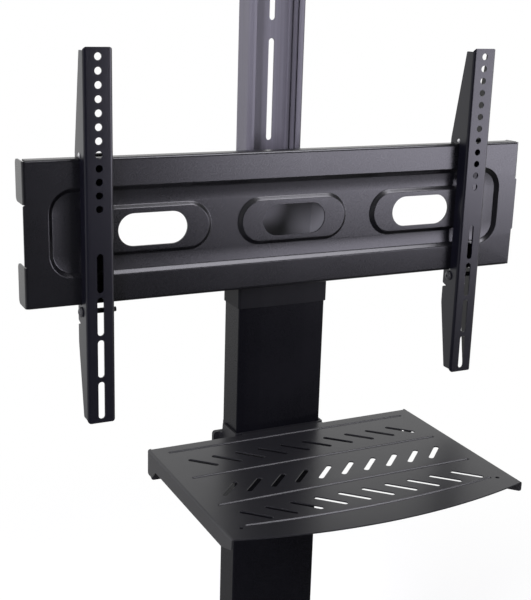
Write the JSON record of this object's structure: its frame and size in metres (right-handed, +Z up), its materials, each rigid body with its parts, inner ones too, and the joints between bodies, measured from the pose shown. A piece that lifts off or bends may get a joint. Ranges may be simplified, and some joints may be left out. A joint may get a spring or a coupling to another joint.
{
  "type": "mobile TV stand",
  "caption": "Black mobile TV stand: slotted mast sliding in a wide lower column, stamped wall plate with hooked TV arms, slotted shelf and a caster base.",
  "frame": {"origin": "on the floor, under the middle of the base", "axes": "+Z up the column, -Y towards the viewer of the television, +X to the viewer's right"},
  "size_m": [0.8812, 0.6106, 1.53],
  "materials": {
    "powder_coat": "matt black powder coat",
    "arm_coat": "matt black powder coat",
    "plate_coat": "satin black powder coat",
    "shelf_coat": "satin black powder coat",
    "cover_black": "smooth satin black",
    "mast_black": "black anodised",
    "moulded_black": "fine textured",
    "black_steel": "black zinc",
    "bright_steel": "bright zinc",
    "wheel_rubber": "matt"
  },
  "bodies": {
    "base": {"base_leg_left": "powder_coat", "base_leg_right": "powder_coat", "base_crossbar": "powder_coat", "column_foot": "powder_coat", "foot_bolt_lower": "black_steel", "foot_bolt_upper": "black_steel", "lower_column": "powder_coat", "column_cover": "cover_black", "column_collar": "moulded_black", "column_lock_screw_left": "black_steel", "column_lock_screw_right": "black_steel", "leg_bolt_front_left": "black_steel", "leg_bolt_front_right": "black_steel", "leg_bolt_rear_left": "black_steel", "leg_bolt_rear_right": "black_steel", "leg_cap_front_left": "moulded_black", "leg_cap_front_right": "moulded_black", "leg_cap_rear_left": "moulded_black", "leg_cap_rear_right": "moulded_black", "caster_stem_front_left": "bright_steel", "caster_stem_front_right": "bright_steel", "caster_stem_rear_left": "bright_steel", "caster_stem_rear_right": "bright_steel"},
    "mast": {"mast": "mast_black", "mast_cap": "moulded_black"},
    "mount": {"wall_plate": "plate_coat", "mount_bracket": "powder_coat", "mount_clamp_plate": "powder_coat", "mount_clamp_bolt_upper": "black_steel", "mount_clamp_bolt_lower": "black_steel"},
    "left_arm": {"arm_left": "arm_coat", "arm_hook_pin_left": "bright_steel", "arm_lock_screw_left": "bright_steel", "arm_lock_nut_left": "bright_steel"},
    "right_arm": {"arm_right": "arm_coat", "arm_hook_pin_right": "bright_steel", "arm_lock_screw_right": "bright_steel", "arm_lock_nut_right": "bright_steel"},
    "shelf": {"shelf": "shelf_coat", "shelf_bracket": "powder_coat", "shelf_clamp_strap": "powder_coat", "shelf_clamp_bolt_left": "black_steel", "shelf_clamp_bolt_right": "black_steel"},
    "caster_front_left": {"caster_fork_front_left": "black_steel", "caster_axle_front_left": "bright_steel"},
    "wheel_front_left": {"caster_wheel_front_left": "wheel_rubber"},
    "pedal_front_left": {"brake_pedal_front_left": "moulded_black"},
    "caster_front_right": {"caster_fork_front_right": "black_steel", "caster_axle_front_right": "bright_steel"},
    "wheel_front_right": {"caster_wheel_front_right": "wheel_rubber"},
    "pedal_front_right": {"brake_pedal_front_right": "moulded_black"},
    "caster_rear_left": {"caster_fork_rear_left": "black_steel", "caster_axle_rear_left": "bright_steel"},
    "wheel_rear_left": {"caster_wheel_rear_left": "wheel_rubber"},
    "pedal_rear_left": {"brake_pedal_rear_left": "moulded_black"},
    "caster_rear_right": {"caster_fork_rear_right": "black_steel", "caster_axle_rear_right": "bright_steel"},
    "wheel_rear_right": {"caster_wheel_rear_right": "wheel_rubber"},
    "pedal_rear_right": {"brake_pedal_rear_right": "moulded_black"}
  },
  "joints": [
    {"name": "mast_slide", "type": "slide", "parent": "base", "child": "mast", "axis": [0, 0, 1], "range_m": [0, 0.3]},
    {"name": "mount_slide", "type": "slide", "parent": "mast", "child": "mount", "axis": [0, 0, 1], "range_m": [0, 0.25]},
    {"name": "left_arm_slide", "type": "slide", "parent": "mount", "child": "left_arm", "axis": [1, 0, 0], "range_m": [-0.05, 0.15]},
    {"name": "right_arm_slide", "type": "slide", "parent": "mount", "child": "right_arm", "axis": [-1, 0, 0], "range_m": [-0.05, 0.15]},
    {"name": "shelf_slide", "type": "slide", "parent": "base", "child": "shelf", "axis": [0, 0, 1], "range_m": [-0.45, 0.05]},
    {"name": "swivel_front_left", "type": "hinge", "parent": "base", "child": "caster_front_left", "pos_m": [-0.41, -0.23, 0.07], "axis": [0, 0, 1], "continuous": true},
    {"name": "roll_front_left", "type": "hinge", "parent": "caster_front_left", "child": "wheel_front_left", "pos_m": [-0.41, -0.208, 0.03], "axis": [1, 0, 0], "continuous": true},
    {"name": "brake_front_left", "type": "hinge", "parent": "caster_front_left", "child": "pedal_front_left", "pos_m": [-0.41, -0.192, 0.062], "axis": [1, 0, 0], "range_deg": [-15, 0]},
    {"name": "swivel_front_right", "type": "hinge", "parent": "base", "child": "caster_front_right", "pos_m": [0.41, -0.23, 0.07], "axis": [0, 0, 1], "continuous": true},
    {"name": "roll_front_right", "type": "hinge", "parent": "caster_front_right", "child": "wheel_front_right", "pos_m": [0.41, -0.208, 0.03], "axis": [1, 0, 0], "continuous": true},
    {"name": "brake_front_right", "type": "hinge", "parent": "caster_front_right", "child": "pedal_front_right", "pos_m": [0.41, -0.192, 0.062], "axis": [1, 0, 0], "range_deg": [-15, 0]},
    {"name": "swivel_rear_left", "type": "hinge", "parent": "base", "child": "caster_rear_left", "pos_m": [-0.41, 0.23, 0.07], "axis": [0, 0, 1], "continuous": true},
    {"name": "roll_rear_left", "type": "hinge", "parent": "caster_rear_left", "child": "wheel_rear_left", "pos_m": [-0.41, 0.252, 0.03], "axis": [1, 0, 0], "continuous": true},
    {"name": "brake_rear_left", "type": "hinge", "parent": "caster_rear_left", "child": "pedal_rear_left", "pos_m": [-0.41, 0.268, 0.062], "axis": [1, 0, 0], "range_deg": [-15, 0]},
    {"name": "swivel_rear_right", "type": "hinge", "parent": "base", "child": "caster_rear_right", "pos_m": [0.41, 0.23, 0.07], "axis": [0, 0, 1], "continuous": true},
    {"name": "roll_rear_right", "type": "hinge", "parent": "caster_rear_right", "child": "wheel_rear_right", "pos_m": [0.41, 0.252, 0.03], "axis": [1, 0, 0], "continuous": true},
    {"name": "brake_rear_right", "type": "hinge", "parent": "caster_rear_right", "child": "pedal_rear_right", "pos_m": [0.41, 0.268, 0.062], "axis": [1, 0, 0], "range_deg": [-15, 0]}
  ]
}
